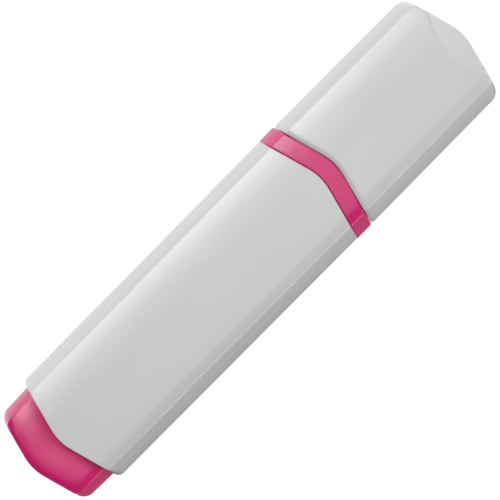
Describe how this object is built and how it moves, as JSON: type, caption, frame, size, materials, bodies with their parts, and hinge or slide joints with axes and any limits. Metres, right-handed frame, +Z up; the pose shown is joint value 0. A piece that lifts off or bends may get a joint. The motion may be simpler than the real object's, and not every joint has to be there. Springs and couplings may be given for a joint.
{
  "type": "capped highlighter",
  "caption": "Flat capped highlighter with chevron seams, a coloured tail plug and collar, a chisel nib fed by a fibre ink core, and a pull-off cap with a sealing liner.",
  "frame": {"origin": "centre of the pen's length and width, on the flat back face that it lies on", "axes": "+X along the pen towards the cap, +Y across its width, +Z up out of the broad front face"},
  "size_m": [0.1152, 0.0262, 0.0145],
  "materials": {
    "white_shell": "smooth moulded white, semi-gloss",
    "pink_shell": "smooth moulded pink, semi-gloss",
    "felt": "bonded fibre, inked",
    "core_fibre": "soft fibre, inked",
    "clear_film": "clear film",
    "breather": "natural extruded tube",
    "liner": "natural white, satin"
  },
  "bodies": {
    "pen": {"barrel": "white_shell", "tail_plug": "pink_shell", "nib_section": "pink_shell", "nib": "felt", "ink_core": "core_fibre", "core_film": "clear_film", "breather_tube": "breather"},
    "cap": {"cap_shell": "white_shell", "inner_cap": "liner"}
  },
  "joints": [
    {"name": "cap_pull", "type": "slide", "parent": "pen", "child": "cap", "axis": [1, 0, 0], "range_m": [0, 0.04]}
  ]
}
